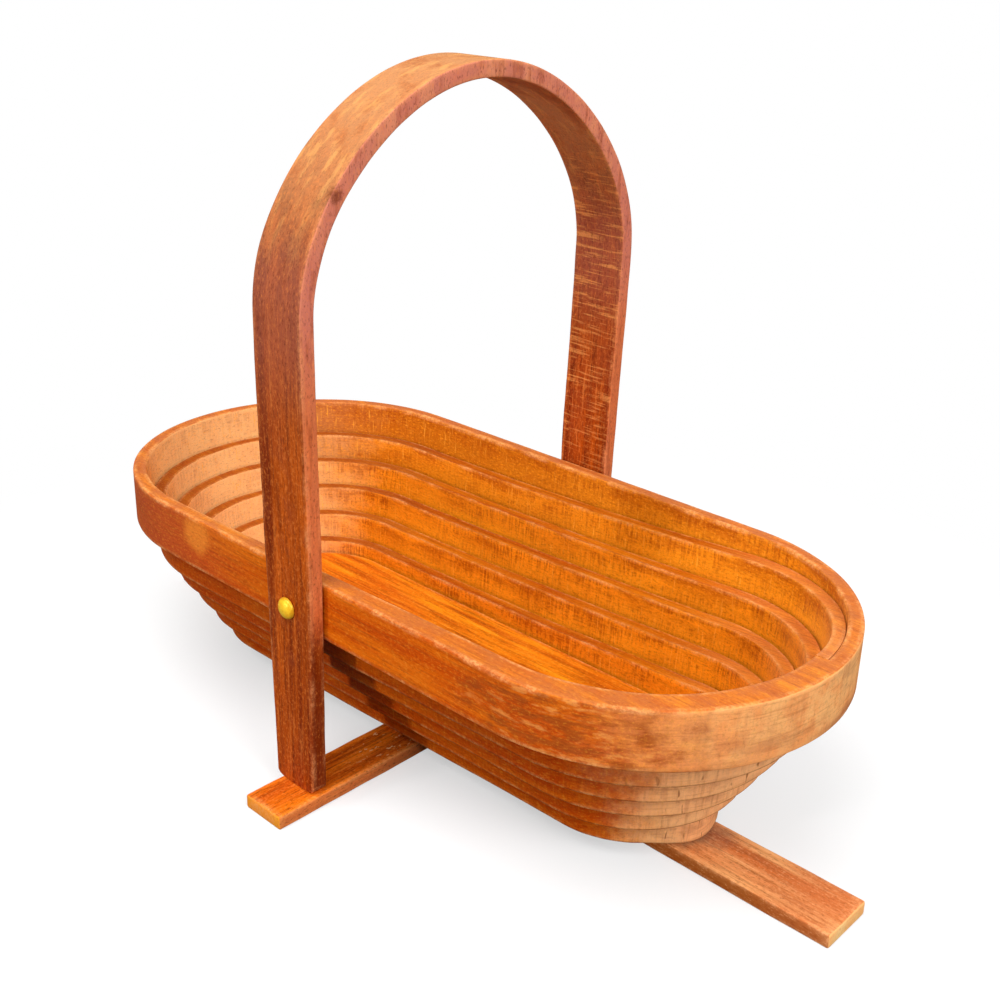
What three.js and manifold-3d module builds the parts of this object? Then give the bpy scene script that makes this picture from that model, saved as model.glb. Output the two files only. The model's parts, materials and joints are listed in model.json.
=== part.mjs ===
import * as THREE from 'three';
import { mergeVertices } from 'three/addons/utils/BufferGeometryUtils.js';
import Module from 'manifold-3d';

// A collapsible trivet basket. One flat board is sawn along a sloping spiral, so that it drops
// open into a stepped bowl: a closed rim, five turns of strip and a bottom plate. A hoop handle
// swings on two brass pins in the rim, and its legs and the bowl stand on a cross of two bars.
// Millimetres, +Z up, X along the board, origin on the floor under the middle of the cross.

// Board
const boardHalfStraight = 93;
const boardEndRadius = 79;
const boardThickness = 22.7;

// Spiral cut
const turnCount = 5;
const stripWidth = 5.7;
const cutSlope = 0.07;
const cutClearance = 0.424;
const startAngle = THREE.MathUtils.degToRad(5);
const startStep = 4.7;
const jogFrom = 0.64;
const jogTo = 0.92;
const widenTo = 0.12;
const strandGap = 0.5;

// Drops of the open bowl, from one turn to the next
const firstDrop = 15;
const middleDrop = 11.2;
const lastDrop = 5.6;
const rampTo = 0.36;
const settleFrom = 0.93;

// Handle
const handleWidth = 25.8;
const handleThickness = 6.3;
const legClearance = 0.5;
const legFlare = 1.8;
const archHeight = 80.5;
const archDraw = 0.023;
const foldGap = 9.5;
const handleLean = THREE.MathUtils.degToRad(0.9);
const legCorner = 3;
const footNarrowing = 3.6;
const narrowingRise = 20;

// Pivot pins
const pinOffset = -2.4;
const pinShankRadius = 2;
const pinHeadRadius = 4.5;
const pinHeadHeight = 2.4;
const pinClearance = 0.3;
const pinWall = 1.4;

// Cross that the bowl and the legs stand on
const barThickness = 5.8;
const crossbarWidth = 20.6;
const crossbarOverhang = 17.2;
const longBarWidth = 24.5;
const longBarOverhang = 17.4;
const restGap = 0.3;

// Facets
const arcStep = THREE.MathUtils.degToRad(9);
const straightSteps = 10;
const archSteps = 40;
const legSteps = 6;
const pinSides = 24;
const domeSteps = 5;

// Sizes that follow
const deepestDrop = Math.max(firstDrop, middleDrop + lastDrop);
const kerf = cutClearance + cutSlope * deepestDrop;
const pitch = stripWidth + kerf;
const bowlDepth = firstDrop + (turnCount - 1) * middleDrop + lastDrop;
const plateTop = barThickness + restGap + boardThickness;
const rimTop = plateTop + bowlDepth;
const pinHeight = rimTop - boardThickness / 2;
const boardHalfLength = boardHalfStraight + boardEndRadius;
const legInner = boardEndRadius + legClearance;
const legOuter = legInner + handleThickness;
const archReach = boardHalfLength + Math.abs(pinOffset) + foldGap;
const springRise = archReach + handleThickness - archHeight;
const footReach = pinHeight - barThickness - restGap;
const crossbarHalf = legOuter + crossbarOverhang;
const longBarHalf = boardHalfLength + longBarOverhang;

const wood = { metalness: 0, roughness: 0.55 };
const looks = {
  board: { color: 0xa8591f, ...wood },
  handle: { color: 0x8e4423, ...wood },
  bar: { color: 0x914a24, ...wood },
  brass: { color: 0xc9a23c, metalness: 1, roughness: 0.35 },
};

const wasm = await Module();
wasm.setup();

function smooth(from, to, value) {
  return THREE.MathUtils.smoothstep(value, from, to);
}

// The oval track of a turn: places along it, each a share of one turn from the start of the cut,
// with the middle line of the board and the way out from it. The track runs up the +X end, back
// along the +Y side, round the -X end and forward along the -Y side.
function ovalTrack() {
  const trackRadius = boardEndRadius - (turnCount * pitch) / 2;
  const straight = 2 * boardHalfStraight;
  const runs = [
    { end: 1, from: startAngle, to: Math.PI / 2 },
    { side: 1 },
    { end: -1, from: Math.PI / 2, to: (3 * Math.PI) / 2 },
    { side: -1 },
    { end: 1, from: -Math.PI / 2, to: startAngle },
  ];
  const places = [];
  let travelled = 0;
  for (const run of runs) {
    const turn = run.end ? run.to - run.from : 0;
    const steps = run.end ? Math.ceil(turn / arcStep) : straightSteps;
    const length = run.end ? turn * trackRadius : straight;
    const first = places.length ? 1 : 0;
    for (let i = first; i <= steps; i += 1) {
      const along = i / steps;
      const angle = run.end ? run.from + turn * along : (run.side * Math.PI) / 2;
      const middle = run.end ? run.end * boardHalfStraight : run.side * (0.5 - along) * straight;
      places.push({ travelled: travelled + along * length, middle, angle });
    }
    travelled += length;
  }
  return places.map((place) => ({ ...place, share: place.travelled / travelled, length: travelled }));
}

const track = ovalTrack();
const trackLength = track[0].length;

function pointAt(place, inset) {
  const reach = boardEndRadius - inset;
  return new THREE.Vector2(
    place.middle + reach * Math.cos(place.angle),
    reach * Math.sin(place.angle),
  );
}

// How far the outer edge of the saw cut lies in from the board's edge, at the top of the board.
function cutInset(turn, share) {
  const lag = turn > 0 ? (pitch - startStep) * (1 - smooth(0, widenTo, share)) : 0;
  return stripWidth + turn * pitch - lag + startStep * smooth(jogFrom, jogTo, share);
}

function levelTop(turn) {
  const fallen = turn > 0 ? firstDrop + (turn - 1) * middleDrop : 0;
  return turn > turnCount ? plateTop : rimTop - fallen;
}

// Each turn leaves the one above it steeply and eases to its own level; the last comes down
// to the plate at its end.
function stripTop(turn, share) {
  const left = 1 - Math.min(share / rampTo, 1);
  const ramp = levelTop(turn) + (levelTop(turn - 1) - levelTop(turn)) * left ** 2;
  const settle = turn === turnCount ? smooth(settleFrom, 1, share) * lastDrop : 0;
  return ramp - settle;
}

// Closed bodies from their corners and faces
function body(points, triangles) {
  const geometry = new THREE.BufferGeometry();
  geometry.setAttribute('position', new THREE.Float32BufferAttribute(points.flat(), 3));
  geometry.setIndex(triangles.flat());
  return geometry;
}

// A bar swept through four-cornered sections, closed at both ends.
function sweep(sections) {
  const corners = sections[0].length;
  const triangles = [];
  for (let i = 0; i + 1 < sections.length; i += 1) {
    for (let j = 0; j < corners; j += 1) {
      const a = i * corners + j;
      const b = i * corners + ((j + 1) % corners);
      triangles.push([a, b, b + corners], [a, b + corners, a + corners]);
    }
  }
  const last = (sections.length - 1) * corners;
  for (let j = 1; j + 1 < corners; j += 1) {
    triangles.push([0, j + 1, j], [last, last + j, last + j + 1]);
  }
  return body(sections.flat(), triangles);
}

// A slab of the board between two heights. Each loop gives its edge at the top and at the bottom;
// the first loop is the outside and any others are openings.
function slab(loops, top, bottom) {
  const edges = loops.map((loop) => loop.top);
  const faces = THREE.ShapeUtils.triangulateShape(edges[0], edges.slice(1));
  const points = [
    ...loops.flatMap((loop) => loop.top.map((p) => [p.x, p.y, top])),
    ...loops.flatMap((loop) => loop.bottom.map((p) => [p.x, p.y, bottom])),
  ];
  const count = points.length / 2;
  const triangles = faces.flatMap(([a, b, c]) => [[a, b, c], [c + count, b + count, a + count]]);
  let start = 0;
  for (const edge of edges) {
    for (let i = 0; i < edge.length; i += 1) {
      const a = start + i;
      const b = start + ((i + 1) % edge.length);
      triangles.push([a, a + count, b + count], [a, b + count, b]);
    }
    start += edge.length;
  }
  return body(points, triangles);
}

function boardLoop(inset, lean) {
  const edge = (drop) => track.map((place) => pointAt(place, inset(place.share) + lean * drop));
  return { top: edge(0), bottom: edge(boardThickness) };
}

function solid(geometry) {
  const bare = geometry.clone();
  bare.deleteAttribute('normal');
  bare.deleteAttribute('uv');
  const merged = mergeVertices(bare);
  const mesh = new wasm.Mesh({
    numProp: 3,
    vertProperties: new Float32Array(merged.attributes.position.array),
    triVerts: new Uint32Array(merged.index.array),
  });
  return new wasm.Manifold(mesh);
}

function surface(manifold) {
  const mesh = manifold.getMesh();
  const geometry = new THREE.BufferGeometry();
  geometry.setAttribute('position', new THREE.BufferAttribute(mesh.vertProperties, 3));
  geometry.setIndex(new THREE.BufferAttribute(mesh.triVerts, 1));
  return geometry;
}

function piece(name, geometry, look) {
  const mesh = new THREE.Mesh(geometry, new THREE.MeshStandardMaterial(look));
  mesh.name = name;
  return mesh;
}

// A hole on the pin axis, from one distance out on the chosen side to another
function pinHole(side, from, to) {
  const length = to - from;
  const radius = pinShankRadius + pinClearance;
  const hole = new THREE.CylinderGeometry(radius, radius, length, pinSides);
  hole.translate(0, (side * (from + to)) / 2, 0);
  return hole;
}

function rim() {
  const outside = boardLoop(() => 0, 0);
  outside.top.pop();
  outside.bottom.pop();
  const inside = boardLoop((share) => cutInset(0, share), cutSlope);
  inside.top.reverse();
  inside.bottom.reverse();
  let ring = solid(slab([outside, inside], rimTop, rimTop - boardThickness));
  for (const side of [1, -1]) {
    const bottom = boardEndRadius - stripWidth + pinWall - pinClearance;
    const hole = pinHole(side, bottom, boardEndRadius + legClearance);
    hole.translate(pinOffset, 0, pinHeight);
    ring = ring.subtract(solid(hole));
  }
  return piece('rim', surface(ring), looks.board);
}

function strip(turn) {
  const gap = strandGap / trackLength;
  const sections = track.map((place) => {
    const share = THREE.MathUtils.clamp(place.share, gap, 1 - gap);
    const shift = ((share - place.share) * trackLength) / (boardEndRadius - turn * pitch);
    const here = { middle: place.middle, angle: place.angle + shift };
    const outer = cutInset(turn - 1, share) + kerf;
    const inner = cutInset(turn, share);
    const top = stripTop(turn, share);
    const corner = (inset, drop) => {
      const point = pointAt(here, inset + cutSlope * drop);
      return [point.x, point.y, top - drop];
    };
    return [
      corner(outer, 0),
      corner(outer, boardThickness),
      corner(inner, boardThickness),
      corner(inner, 0),
    ];
  });
  return piece(`spiral_turn_${turn}`, sweep(sections), looks.board);
}

function bottomPlate() {
  const edge = boardLoop((share) => cutInset(turnCount, share) + kerf, cutSlope);
  return piece('bottom_plate', slab([edge], plateTop, plateTop - boardThickness), looks.board);
}

// Half of the handle's outline from the foot to the crown, in the plane of the hoop, with the
// pin axis as origin. The distance is measured in from the outer edge.
function hoopSide(depth) {
  const side = [];
  const foot = -footReach - legCorner;
  for (let i = 0; i <= legSteps; i += 1) {
    const rise = (springRise * i) / legSteps;
    side.push(new THREE.Vector2(legOuter + legFlare * smooth(0, springRise, rise) - depth, rise));
  }
  for (let i = 1; i <= archSteps; i += 1) {
    const angle = ((Math.PI / 2) * i) / archSteps;
    side.push(archPoint(angle, depth));
  }
  return [new THREE.Vector2(legOuter - depth, foot), ...side];
}

function archEdge(angle) {
  const draw = 1 - archDraw * Math.sin(2 * angle) ** 2;
  return new THREE.Vector2(
    (legOuter + legFlare) * Math.cos(angle) * draw,
    springRise + archHeight * Math.sin(angle) * draw,
  );
}

function archPoint(angle, depth) {
  const nudge = 1e-4;
  const ahead = archEdge(angle + nudge).sub(archEdge(angle - nudge)).normalize();
  return archEdge(angle).add(new THREE.Vector2(-ahead.y, ahead.x).multiplyScalar(depth));
}

function mirrored(side) {
  const other = side.slice(0, -1).map((p) => new THREE.Vector2(-p.x, p.y));
  return [...side, ...other.reverse()];
}

// The legs seen from the side: the front edge is straight, the back edge draws in towards the
// foot, and the end is round about the pin axis, so that it clears the crossbar as it swings.
function legProfile(top) {
  const half = handleWidth / 2;
  const footBack = half - footNarrowing;
  const cornerAt = (edge) => {
    const shoulder = edge - legCorner;
    const angle = Math.asin(shoulder / footReach);
    return { shoulder, angle, drop: footReach * Math.cos(angle) };
  };
  const back = cornerAt(footBack);
  const front = cornerAt(half);
  const shape = new THREE.Shape();
  shape.moveTo(-half, top);
  shape.lineTo(-half, narrowingRise);
  shape.lineTo(-footBack, legCorner - back.drop);
  shape.quadraticCurveTo(-footBack, -back.drop, -back.shoulder, -back.drop);
  shape.absarc(0, 0, footReach, -Math.PI / 2 - back.angle, -Math.PI / 2 + front.angle, false);
  shape.quadraticCurveTo(half, -front.drop, half, legCorner - front.drop);
  shape.lineTo(half, top);
  return shape;
}

// An outline in a plane that stands upright, drawn out evenly to both sides of that plane
function upright(shape, width, across) {
  const settings = { depth: width, bevelEnabled: false, steps: 1, curveSegments: 8 };
  const geometry = new THREE.ExtrudeGeometry(shape, settings);
  geometry.translate(0, 0, -width / 2);
  geometry.rotateX(Math.PI / 2);
  if (across) {
    geometry.rotateZ(Math.PI / 2);
  }
  return geometry;
}

function handle() {
  const outer = mirrored(hoopSide(0));
  const inner = mirrored(hoopSide(handleThickness));
  const hoop = new THREE.Shape([...outer, ...inner.reverse()]);
  const crown = springRise + archHeight + legCorner;
  const span = 2 * (legOuter + legFlare + legCorner);
  let loop = solid(upright(hoop, handleWidth, true));
  loop = loop.intersect(solid(upright(legProfile(crown), span, false)));
  for (const side of [1, -1]) {
    loop = loop.subtract(solid(pinHole(side, legInner - legClearance, legOuter + legClearance)));
  }
  const mesh = piece('handle', surface(loop), looks.handle);
  mesh.position.set(pinOffset, 0, pinHeight);
  mesh.rotation.y = handleLean;
  return mesh;
}

// A round-headed pin, turned about its own length: the shank ends in the rim and the domed head
// stands on the outside of the leg.
function pivotPin(name, side) {
  const tip = boardEndRadius - stripWidth + pinWall;
  const seat = legOuter + pinClearance;
  const profile = [
    new THREE.Vector2(0, tip),
    new THREE.Vector2(pinShankRadius, tip),
    new THREE.Vector2(pinShankRadius, seat),
    new THREE.Vector2(pinHeadRadius, seat),
  ];
  for (let i = 1; i <= domeSteps; i += 1) {
    const angle = ((Math.PI / 2) * i) / domeSteps;
    const radius = i === domeSteps ? 0 : pinHeadRadius * Math.cos(angle);
    profile.push(new THREE.Vector2(radius, seat + pinHeadHeight * Math.sin(angle)));
  }
  const mesh = piece(name, new THREE.LatheGeometry(profile, pinSides), looks.brass);
  mesh.rotation.z = side > 0 ? 0 : Math.PI;
  mesh.position.set(pinOffset, 0, pinHeight);
  return mesh;
}

// A bar of the cross, seen from its side, with half of its depth cut away where it laps the other
function lappedBar(halfLength, otherWidth, cutFromTop) {
  const halfNotch = otherWidth / 2 + restGap;
  const middle = barThickness / 2;
  const cut = cutFromTop ? middle - restGap / 2 : middle + restGap / 2;
  const plain = cutFromTop ? 0 : barThickness;
  const notched = cutFromTop ? barThickness : 0;
  const shape = new THREE.Shape();
  shape.moveTo(-halfLength, plain);
  shape.lineTo(halfLength, plain);
  shape.lineTo(halfLength, notched);
  shape.lineTo(halfNotch, notched);
  shape.lineTo(halfNotch, cut);
  shape.lineTo(-halfNotch, cut);
  shape.lineTo(-halfNotch, notched);
  shape.lineTo(-halfLength, notched);
  return shape;
}

function crossbar() {
  const side = lappedBar(crossbarHalf, longBarWidth, true);
  return piece('crossbar', upright(side, crossbarWidth, true), looks.bar);
}

function longBar() {
  const side = lappedBar(longBarHalf, crossbarWidth, false);
  return piece('long_bar', upright(side, longBarWidth, false), looks.bar);
}

const basket = new THREE.Group();
basket.add(crossbar(), longBar(), rim());
for (let turn = 1; turn <= turnCount; turn += 1) {
  basket.add(strip(turn));
}
basket.add(bottomPlate(), handle());
basket.add(pivotPin('near_pivot_pin', -1), pivotPin('far_pivot_pin', 1));

export default basket;
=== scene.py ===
import json
import math

import bmesh
import bpy
from mathutils import Matrix, Vector, noise


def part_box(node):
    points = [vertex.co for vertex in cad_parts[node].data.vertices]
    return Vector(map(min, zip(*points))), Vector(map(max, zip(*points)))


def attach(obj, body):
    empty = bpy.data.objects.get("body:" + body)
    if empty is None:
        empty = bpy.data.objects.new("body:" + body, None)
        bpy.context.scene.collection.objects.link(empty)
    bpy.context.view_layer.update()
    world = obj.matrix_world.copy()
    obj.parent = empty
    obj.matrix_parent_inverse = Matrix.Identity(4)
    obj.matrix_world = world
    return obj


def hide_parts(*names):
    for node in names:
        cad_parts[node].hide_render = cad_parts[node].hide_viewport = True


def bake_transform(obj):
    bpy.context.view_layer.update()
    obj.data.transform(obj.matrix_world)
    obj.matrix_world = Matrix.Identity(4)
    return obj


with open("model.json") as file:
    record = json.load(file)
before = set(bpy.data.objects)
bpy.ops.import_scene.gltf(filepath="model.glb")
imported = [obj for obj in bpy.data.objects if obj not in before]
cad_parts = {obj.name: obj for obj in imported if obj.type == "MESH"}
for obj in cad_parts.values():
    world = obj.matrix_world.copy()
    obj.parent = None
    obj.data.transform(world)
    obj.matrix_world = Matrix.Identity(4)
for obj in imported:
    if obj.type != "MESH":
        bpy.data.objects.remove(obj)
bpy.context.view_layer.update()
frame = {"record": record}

# The looks of a collapsible trivet basket: a board sawn along a spiral and dropped open into a
# stepped bowl, a hoop handle on two brass pins, and a cross of two bars that it all stands on.
# Sizes of the basket are in millimetres, in the frame of the CAD model, and become metres in
# make_mesh. The stage is in metres.

METRE = 0.001


def node_box(node):
    """Lowest and highest corner of a CAD node, in millimetres."""
    low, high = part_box(node)
    return low / METRE, high / METRE


def joint_travel(name):
    """How far a slide of the frame goes, in millimetres."""
    for joint in frame["record"]["behaviour"]["joints"]:
        if joint["name"] == name:
            return joint["range_m"][1] / METRE
    raise KeyError(name)


# Board, from the frame
RIM_LOW, RIM_HIGH = node_box("rim")
END_RADIUS = (RIM_HIGH.y - RIM_LOW.y) / 2
HALF_STRAIGHT = (RIM_HIGH.x - RIM_LOW.x) / 2 - END_RADIUS
THICKNESS = RIM_HIGH.z - RIM_LOW.z
RIM_TOP = RIM_HIGH.z
PLATE_TOP = node_box("bottom_plate")[1].z
FIRST_DROP = joint_travel("spiral_collapse")
MIDDLE_DROP = joint_travel("turn_2_rise")
LAST_DROP = joint_travel("plate_rise")

# Spiral cut: widths, and places as shares of a turn
TURNS = 5
STRIP_WIDTH = 5.7
KERF = 1.6
START_KERF = 0.35
PITCH = STRIP_WIDTH + KERF
CUT_SLOPE = 0.07
START_ANGLE = math.radians(5)
START_STEP = 4.7
JOG_FROM = 0.64
JOG_TO = 0.92
WIDEN_TO = 0.12
GAPE_TO = 0.22
RAMP_TO = 0.36
RAMP_PIECE_TO = 0.40
SETTLE_FROM = 0.93
SEAM = 0.4
STATIONS = 300
TRACK_RADIUS = END_RADIUS - TURNS * PITCH / 2
TRACK_LENGTH = 2 * math.pi * TRACK_RADIUS + 4 * HALF_STRAIGHT

# Handle, about its pin axis
PIN_LOW, PIN_HIGH = node_box("near_pivot_pin")
PIN_X = (PIN_LOW.x + PIN_HIGH.x) / 2
PIN_Z = (PIN_LOW.z + PIN_HIGH.z) / 2
HANDLE_WIDTH = 25.8
HANDLE_THICKNESS = 6.3
LEG_CLEARANCE = 0.5
LEG_INNER = END_RADIUS + LEG_CLEARANCE
LEG_OUTER = LEG_INNER + HANDLE_THICKNESS
LEG_FLARE = 1.8
ARCH_HEIGHT = 80.5
ARCH_DRAW = 0.023
SPRING_RISE = 109.7
FOOT_HEIGHT = 6.1
FOOT_REACH = PIN_Z - FOOT_HEIGHT
LEG_CORNER = 3.0
FOOT_NARROWING = 3.6
NARROWING_RISE = 20.0
HANDLE_LEAN = math.radians(0.9)

# Pins
SHANK_RADIUS = 2.0
HEAD_RADIUS = 4.2
HEAD_HEIGHT = 2.4
PIN_DEPTH = 4.3
PIN_TIP = END_RADIUS - PIN_DEPTH
HEAD_CLEARANCE = 0.3
HEAD_SEAT = LEG_OUTER + HEAD_CLEARANCE

# Cross
CROSS_LOW, CROSS_HIGH = node_box("crossbar")
LONG_LOW, LONG_HIGH = node_box("long_bar")
BAR_THICKNESS = CROSS_HIGH.z - CROSS_LOW.z
REST_GAP = 0.3
END_WEAR_FROM = 2.0
END_WEAR_FULL = 0.5
MOST_BAR_EASED = 0.25

# Eased edges of the wood, how much flat they leave, and how far the saw wandered
EDGE_MARGIN = 1.3
EDGE_STEPS = 3
LEAST_FLAT = 0.05
MOST_EASED = 0.3
SHARP_ANGLE = math.radians(38)
STRIP_EDGE = 0.32
RIM_EDGE = 0.75
HANDLE_EDGE = 0.75
BAR_EDGE = 0.75
SAW_WANDER = 0.22


def smoothstep(low, high, value):
    share = min(max((value - low) / (high - low), 0.0), 1.0)
    return share * share * (3.0 - 2.0 * share)


def ripple(length, row, pitch):
    """A smooth run of small ups and downs, from -1 to 1, along a length. Each row has its own."""
    row_apart = 7.31
    level = 2.7
    return noise.noise(Vector((length / pitch, row * row_apart, level)))


def worn_edge(edge, share, length, row, pitch):
    return edge * (1 + share * ripple(length, row, pitch))


# Sections. A section is a loop of spots: down one side, then back up the other, so that a spot
# and its mate on the other side pair up, which closes the ends with plain quads.

class Spot:
    """A corner of a mesh, its place in the grain, and the other values that its material reads."""

    def __init__(self, place, grain, **values):
        self.place = place
        self.grain = grain
        self.values = values


def half_profile(height, radius, steps):
    """One side of a section: (in from the side, down, wear, on the side) from top to bottom."""
    margin = min(EDGE_MARGIN, height / 2 - radius - LEAST_FLAT)
    upper = [(radius + margin, 0.0, 0.0, 0.0)]
    for i in range(EDGE_STEPS + 1):
        angle = math.pi / 2 * i / EDGE_STEPS
        ease = radius * (1 - math.sin(angle))
        sink = radius * (1 - math.cos(angle))
        upper.append((ease, sink, 1.0, i / EDGE_STEPS))
    lower = [(ease, height - sink, wear, side) for ease, sink, wear, side in reversed(upper)]
    start = radius + margin
    end = height - radius - margin
    flat = [(0.0, start + (end - start) * i / steps, 0.0, 1.0) for i in range(steps + 1)]
    return upper + flat + lower


def full_profile(width, height, radius, steps):
    """A whole section of eased corners: (across, down, wear, on a side)."""
    half = half_profile(height, min(radius, width * MOST_EASED), steps)
    reach = width / 2 - LEAST_FLAT
    near = [(min(a, reach), d, wear, side) for a, d, wear, side in half]
    far = [(width - a, d, wear, side) for a, d, wear, side in near]
    return near + far[::-1]


def grid_faces(rows, count, ring, closed):
    """Quads between rows of spots: a ring joins last to first, closed rows join their ends."""
    faces = []
    for i in range(rows if ring else rows - 1):
        a = i * count
        b = (i + 1) % rows * count
        for j in range(count if closed else count - 1):
            k = (j + 1) % count
            faces.append((a + j, a + k, b + k, b + j))
    return faces


def swept_faces(sections, ring):
    """Faces along a sweep of sections, closed into a ring or capped at both ends."""
    count = len(sections[0])
    faces = grid_faces(len(sections), count, ring, closed=True)
    if not ring:
        last = (len(sections) - 1) * count
        for j in range(count // 2 - 1):
            mate = count - 1 - j
            faces.append((j, mate, mate - 1, j + 1))
            faces.append((last + j, last + j + 1, last + mate - 1, last + mate))
    return faces


def make_mesh(name, spots, faces):
    """A mesh in metres with the spots' values as attributes, and its object."""
    mesh = bpy.data.meshes.new(name)
    mesh.from_pydata([Vector(spot.place) * METRE for spot in spots], [], faces)
    grain = mesh.attributes.new("grain", "FLOAT_VECTOR", "POINT")
    grain.data.foreach_set("vector", [value for spot in spots for value in spot.grain])
    for key in ("wear", "along", "sawn", "outer", "foot"):
        attribute = mesh.attributes.new(key, "FLOAT", "POINT")
        attribute.data.foreach_set("value", [spot.values.get(key, 0.0) for spot in spots])
    shaped = bmesh.new()
    shaped.from_mesh(mesh)
    bmesh.ops.recalc_face_normals(shaped, faces=shaped.faces)
    shaped.to_mesh(mesh)
    shaped.free()
    mesh.shade_smooth()
    mesh.set_sharp_from_angle(angle=SHARP_ANGLE)
    made = bpy.data.objects.new(name, mesh)
    bpy.context.scene.collection.objects.link(made)
    return made


def swept_piece(name, sections, ring):
    spots = [spot for section in sections for spot in section]
    return make_mesh(name, spots, swept_faces(sections, ring))


def dress(piece, material, slot, *nodes):
    piece.data.materials.append(material)
    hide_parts(*nodes)


# The spiral

def track_place(share):
    """Middle of curvature and angle out from it, at a share of a turn from the start of the cut."""
    left = share * TRACK_LENGTH
    first_arc = (math.pi / 2 - START_ANGLE) * TRACK_RADIUS
    far_arc = math.pi * TRACK_RADIUS
    straight = 2 * HALF_STRAIGHT
    if left < first_arc:
        return HALF_STRAIGHT, START_ANGLE + left / TRACK_RADIUS
    left -= first_arc
    if left < straight:
        return HALF_STRAIGHT - left, math.pi / 2
    left -= straight
    if left < far_arc:
        return -HALF_STRAIGHT, math.pi / 2 + left / TRACK_RADIUS
    left -= far_arc
    if left < straight:
        return -HALF_STRAIGHT + left, -math.pi / 2
    left -= straight
    return HALF_STRAIGHT, -math.pi / 2 + left / TRACK_RADIUS


def board_point(share, inset):
    middle, angle = track_place(share)
    reach = END_RADIUS - inset
    return middle + reach * math.cos(angle), reach * math.sin(angle)


def cut_inset(turn, share):
    """Outer edge of the saw cut, in from the board's edge at the top of the board."""
    lag = (PITCH - START_STEP) * (1 - smoothstep(0, WIDEN_TO, share)) if turn > 0 else 0.0
    plain = STRIP_WIDTH + turn * PITCH - lag + START_STEP * smoothstep(JOG_FROM, JOG_TO, share)
    wander_pitch = 31.0
    return plain + SAW_WANDER * ripple((turn + share) * TRACK_LENGTH, 1, wander_pitch)


def level_top(turn):
    """Top of a turn once it is down. The rim comes before turn 1, the plate past the last."""
    if turn > TURNS:
        return PLATE_TOP
    if turn < 1:
        return RIM_TOP
    return RIM_TOP - FIRST_DROP - (turn - 1) * MIDDLE_DROP


def strip_top(turn, share):
    """A turn ramps down from the one above it, and the last also settles onto the plate."""
    left = 1 - min(share / RAMP_TO, 1)
    ramp = level_top(turn) + (level_top(turn - 1) - level_top(turn)) * left ** 2
    settle = smoothstep(SETTLE_FROM, 1, share) * LAST_DROP if turn == TURNS else 0.0
    return ramp - settle


def top_of(turn, share):
    if 1 <= turn <= TURNS:
        return strip_top(turn, share)
    return level_top(turn)


def board_spot(share, turn, inset, drop, wear, sawn, outer):
    """A spot of the board. Its foot value is its height above the top of the next turn in."""
    x, y = board_point(share, inset)
    along = (turn + share) * TRACK_LENGTH
    z = top_of(turn, share) - drop
    foot = z - top_of(turn + 1, share)
    values = {"wear": wear, "along": along, "sawn": sawn, "outer": outer, "foot": foot}
    return Spot((x, y, z), (x, y, -drop), **values)


def kerf_width(turn, share):
    """The first turn springs from the rim at a fine saw line, and the cut gapes as it drops."""
    if turn > 1:
        return KERF
    return START_KERF + (KERF - START_KERF) * smoothstep(0, GAPE_TO, share)


def strip_section(turn, share):
    outer = cut_inset(turn - 1, share) + kerf_width(turn, share)
    width = cut_inset(turn, share) - outer
    edge = worn_edge(STRIP_EDGE, 0.45, (turn + share) * TRACK_LENGTH, row=2, pitch=9.0)
    section = []
    for across, drop, wear, side in full_profile(width, THICKNESS, edge, steps=3):
        inset = outer + across + CUT_SLOPE * drop
        outward = side if across < width / 2 else 0.0
        section.append(board_spot(share, turn, inset, drop, wear, side, outward))
    return section


def shares(start, end):
    count = max(2, round((end - start) * STATIONS))
    return [start + (end - start) * i / count for i in range(count + 1)]


def strip_piece(name, turn, start, end):
    sections = [strip_section(turn, share) for share in shares(start, end)]
    return swept_piece(name, sections, ring=False)


def rim_section(share):
    width = cut_inset(0, share)
    edge = worn_edge(RIM_EDGE, 0.35, share * TRACK_LENGTH, row=3, pitch=14.0)
    section = []
    for across, drop, wear, side in full_profile(width, THICKNESS, edge, steps=4):
        inset = across + CUT_SLOPE * drop * across / width
        outward = side if across < width / 2 else 0.0
        sawn = side - outward
        section.append(board_spot(share, 0, inset, drop, wear, sawn, outward))
    return section


def whole_turn():
    """Stations of a ring, which stops just short of where it began."""
    return shares(0.0, 1.0 - SEAM / TRACK_LENGTH)


def rim_piece():
    sections = [rim_section(share) for share in whole_turn()]
    return swept_piece("rim_ring", sections, ring=True)


def plate_piece():
    """The bottom: one ring of side profiles, closed by a flat face above and below."""
    profile = half_profile(THICKNESS, STRIP_EDGE, steps=2)
    spots = []
    stations = whole_turn()
    for share in stations:
        edge = cut_inset(TURNS, share) + KERF
        for across, drop, wear, side in profile:
            inset = edge + across + CUT_SLOPE * drop
            spots.append(board_spot(share, TURNS + 1, inset, drop, wear, side, side))
    count = len(profile)
    faces = grid_faces(len(stations), count, ring=True, closed=False)
    faces.append(tuple(i * count for i in range(len(stations))))
    faces.append(tuple(i * count + count - 1 for i in reversed(range(len(stations)))))
    return make_mesh("basket_bottom", spots, faces)


# The handle

def arch_edge(angle):
    """The arch's outer edge, across and up from the pins: an ellipse drawn in at the shoulders."""
    draw = 1 - ARCH_DRAW * math.sin(2 * angle) ** 2
    out = (LEG_OUTER + LEG_FLARE) * math.cos(angle) * draw
    return Vector((out, SPRING_RISE + ARCH_HEIGHT * math.sin(angle) * draw))


def arch_frame(angle):
    nudge = 1e-4
    ahead = (arch_edge(angle + nudge) - arch_edge(angle - nudge)).normalized()
    return arch_edge(angle), Vector((-ahead.y, ahead.x))


def leg_frame(side, rise):
    out = LEG_OUTER + LEG_FLARE * smoothstep(0, SPRING_RISE, rise)
    return Vector((side * out, rise)), Vector((-side, 0.0))


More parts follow.
